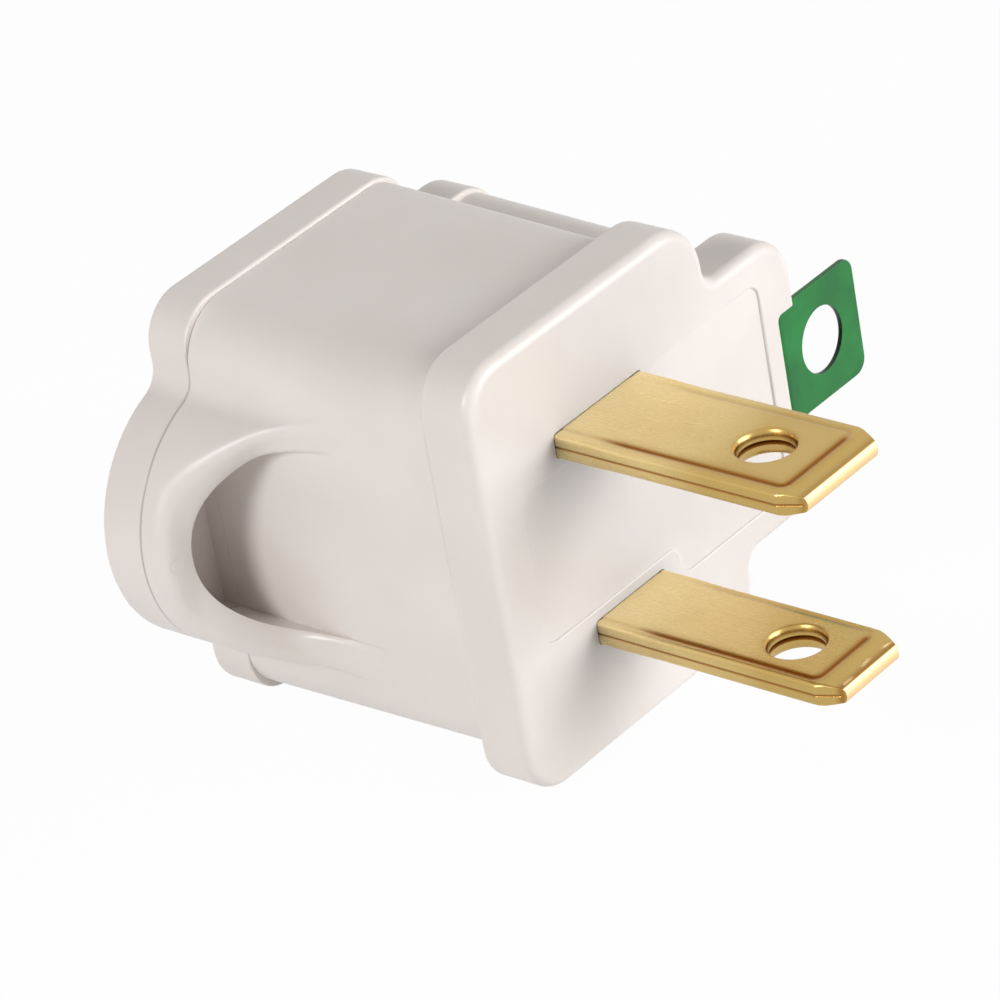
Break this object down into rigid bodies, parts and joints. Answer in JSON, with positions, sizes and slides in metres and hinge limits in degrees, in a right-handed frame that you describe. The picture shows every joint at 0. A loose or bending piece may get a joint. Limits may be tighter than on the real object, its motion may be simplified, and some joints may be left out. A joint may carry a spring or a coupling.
{
  "type": "grounding plug adapter",
  "caption": "Moulded grounding adapter: a polarised flat-blade plug with a green ground tab in front, a three-pin socket behind, and a finger grip on one side.",
  "frame": {"origin": "midway between the two blades, on the floor of the shallow label recess in the blade face, 0.15 mm behind that face's rim", "axes": "+X out of the blade face along the blades, +Y towards the ground tab, +Z from the narrow blade to the wide blade"},
  "size_m": [0.0418, 0.0408, 0.0276],
  "materials": {
    "housing_plastic": "satin",
    "cover_plastic": "satin",
    "brass_strip": "satin",
    "green_strip": "satin"
  },
  "bodies": {
    "root": {"housing": "housing_plastic", "face_cover": "cover_plastic", "neutral_contact": "brass_strip", "hot_contact": "brass_strip", "ground_contact": "green_strip"}
  },
  "joints": []
}
